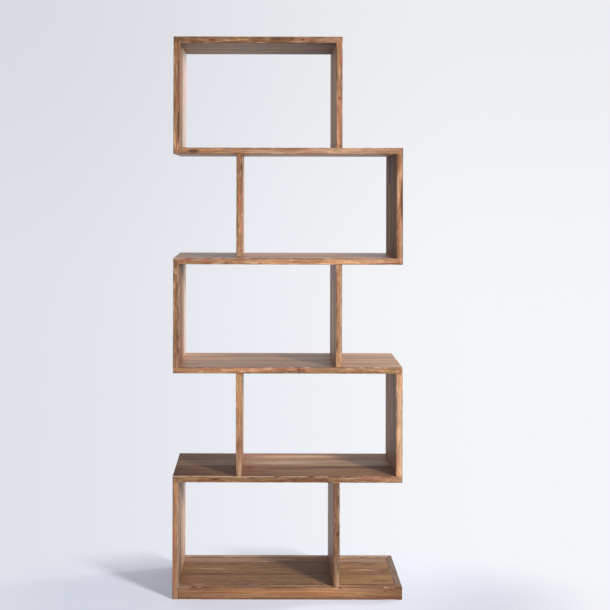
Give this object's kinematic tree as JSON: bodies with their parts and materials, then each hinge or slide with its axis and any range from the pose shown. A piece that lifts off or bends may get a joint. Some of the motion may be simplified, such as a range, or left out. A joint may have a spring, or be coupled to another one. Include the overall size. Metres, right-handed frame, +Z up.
{
  "type": "zigzag bookshelf",
  "caption": "Open wooden bookshelf whose tiers step left and right, with mitred outer corners, dividers between the shelves and a framed base.",
  "frame": {"origin": "middle of the footprint, on the floor", "axes": "+Z up, +X to the right seen from the front, the front at -Y; the top board and the lowest side are at the -X end"},
  "size_m": [0.735, 0.3, 1.8],
  "materials": {
    "board_wood": "waxed satin hardwood with brown figure",
    "base_wood": "waxed satin hardwood, a little darker",
    "joinery_wood": "plain unfinished beech"
  },
  "bodies": {
    "root": {"shelf_1": "board_wood", "shelf_2": "board_wood", "shelf_3": "board_wood", "shelf_4": "board_wood", "top_board": "board_wood", "tier_1_side": "board_wood", "tier_2_side": "board_wood", "tier_3_side": "board_wood", "tier_4_side": "board_wood", "tier_5_side": "board_wood", "tier_1_divider": "board_wood", "tier_2_divider": "board_wood", "tier_3_divider": "board_wood", "tier_4_divider": "board_wood", "tier_5_divider": "board_wood", "base_panel": "base_wood", "base_front_rail": "base_wood", "base_back_rail": "base_wood", "base_end_rail": "base_wood", "base_front_batten": "joinery_wood", "base_back_batten": "joinery_wood", "tier_1_head_spline": "joinery_wood", "tier_2_head_spline": "joinery_wood", "tier_2_foot_spline": "joinery_wood", "tier_3_head_spline": "joinery_wood", "tier_3_foot_spline": "joinery_wood", "tier_4_head_spline": "joinery_wood", "tier_4_foot_spline": "joinery_wood", "tier_5_head_spline": "joinery_wood", "tier_5_foot_spline": "joinery_wood", "top_right_spline": "joinery_wood", "base_front_corner_spline": "joinery_wood", "base_back_corner_spline": "joinery_wood", "tier_1_foot_dowel_front": "joinery_wood", "tier_1_foot_dowel_back": "joinery_wood", "tier_1_head_dowel_front": "joinery_wood", "tier_1_head_dowel_back": "joinery_wood", "tier_2_foot_dowel_front": "joinery_wood", "tier_2_foot_dowel_back": "joinery_wood", "tier_2_head_dowel_front": "joinery_wood", "tier_2_head_dowel_back": "joinery_wood", "tier_3_foot_dowel_front": "joinery_wood", "tier_3_foot_dowel_back": "joinery_wood", "tier_3_head_dowel_front": "joinery_wood", "tier_3_head_dowel_back": "joinery_wood", "tier_4_foot_dowel_front": "joinery_wood", "tier_4_foot_dowel_back": "joinery_wood", "tier_4_head_dowel_front": "joinery_wood", "tier_4_head_dowel_back": "joinery_wood", "tier_5_foot_dowel_front": "joinery_wood", "tier_5_foot_dowel_back": "joinery_wood", "base_front_rail_dowel": "joinery_wood", "base_back_rail_dowel": "joinery_wood"}
  },
  "joints": []
}
